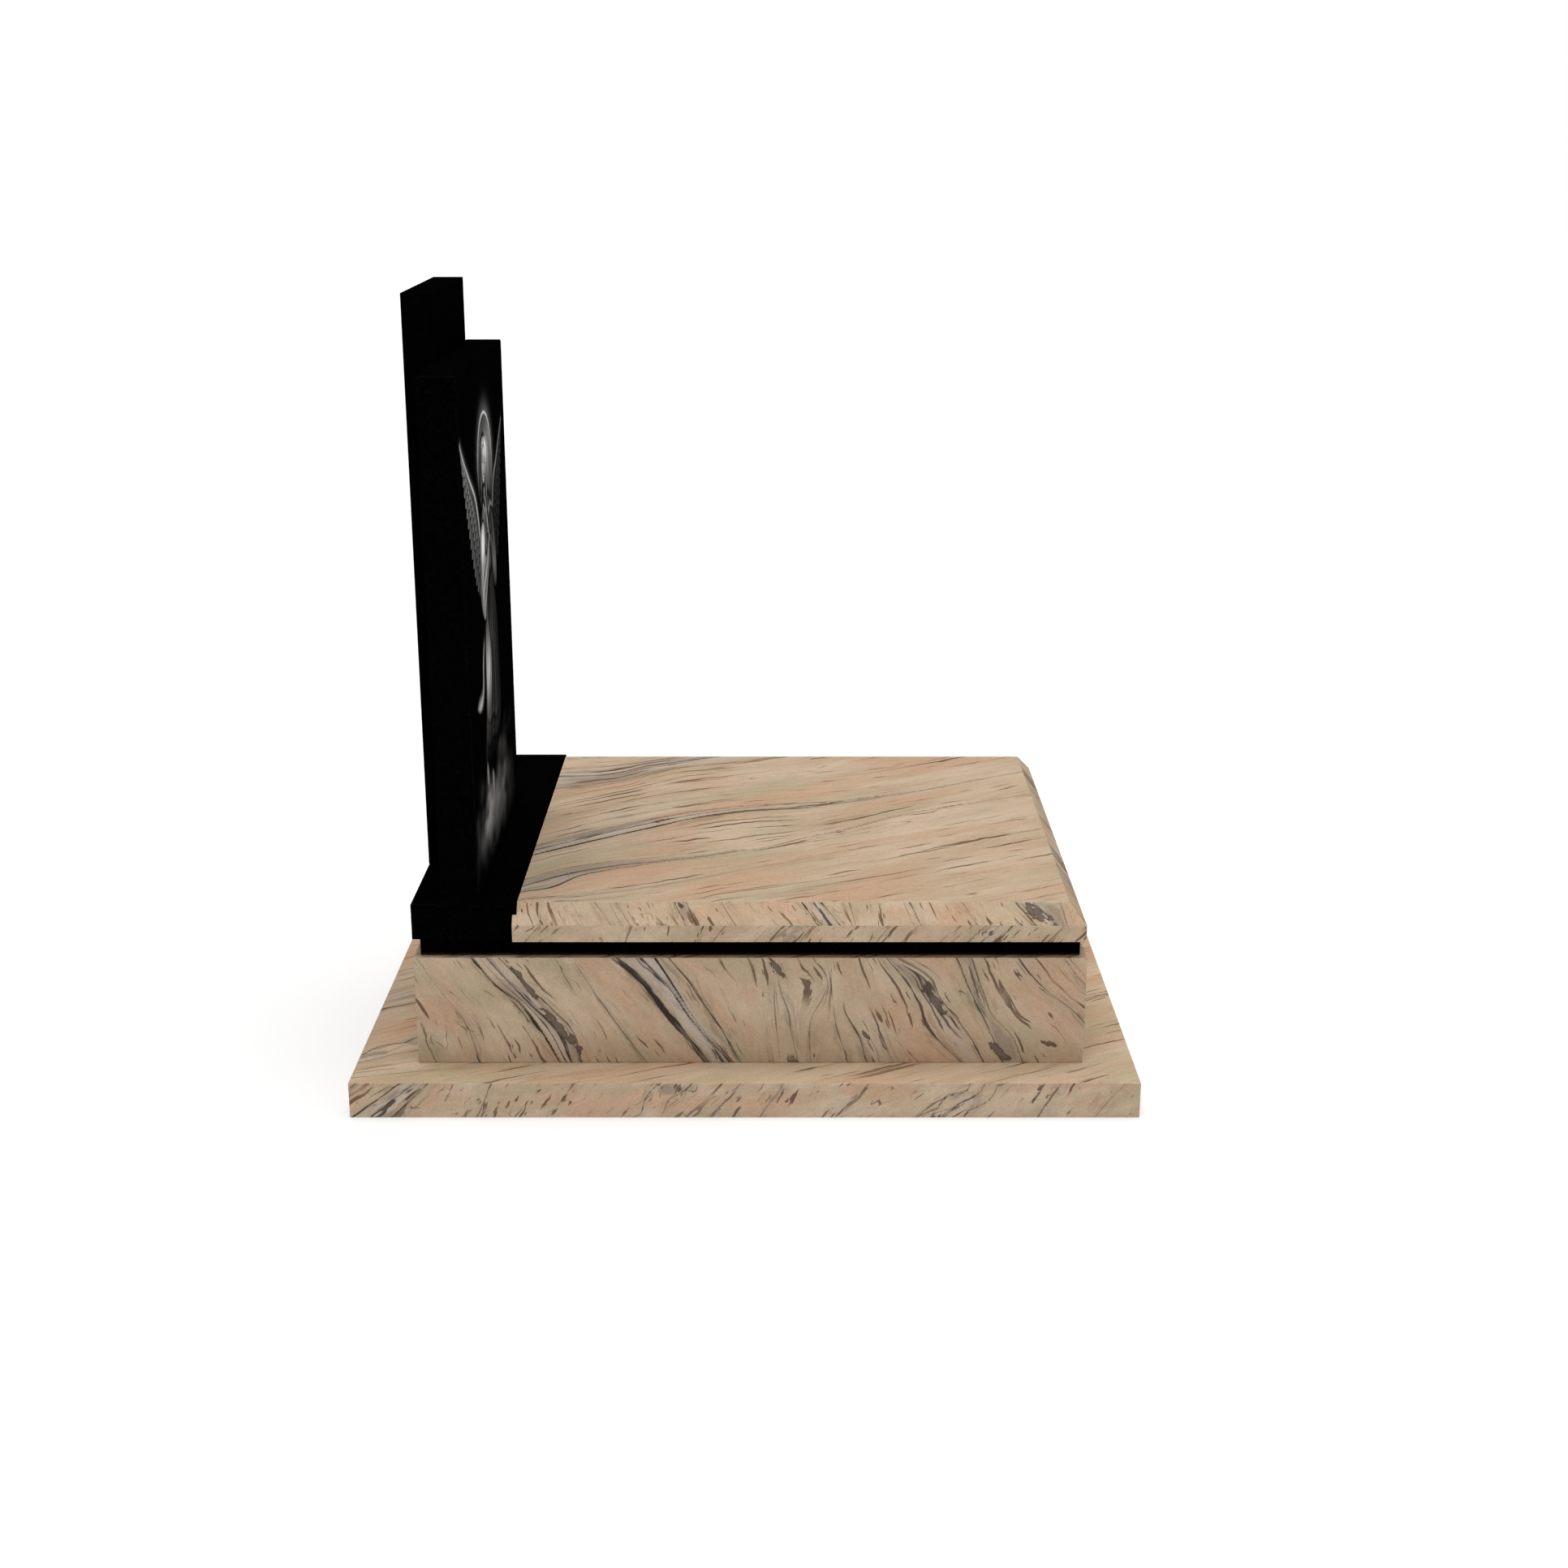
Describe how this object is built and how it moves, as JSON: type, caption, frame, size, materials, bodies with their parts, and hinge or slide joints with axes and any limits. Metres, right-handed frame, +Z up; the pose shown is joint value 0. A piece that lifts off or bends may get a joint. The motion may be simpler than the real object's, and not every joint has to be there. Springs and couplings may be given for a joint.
{
  "type": "angel headstone",
  "caption": "Granite grave monument: plinth, hollow curb, recessed band, chamfered cover slab and a black stele engraved with a praying angel.",
  "frame": {"origin": "centre of the plinth slab's underside, on the ground", "axes": "+Z up; -Y towards the foot of the grave, the way the engraved face looks; +X to the right of someone who faces the engraved face"},
  "size_m": [1.66, 2.102, 2.1132],
  "materials": {
    "sandy_granite": "polished, peach and sand with dark veins",
    "black_granite": "polished",
    "etched_granite": "polished, with a finely etched grey picture on its front face"
  },
  "bodies": {
    "root": {"plinth_slab": "sandy_granite", "curb_side_left": "sandy_granite", "curb_side_right": "sandy_granite", "curb_foot": "sandy_granite", "curb_head": "sandy_granite", "band_side_left": "black_granite", "band_side_right": "black_granite", "band_foot": "black_granite", "band_head": "black_granite", "base_block": "black_granite", "cover_slab": "sandy_granite", "headstone_rear_slab": "black_granite", "headstone_angel_slab": "etched_granite"}
  },
  "joints": []
}
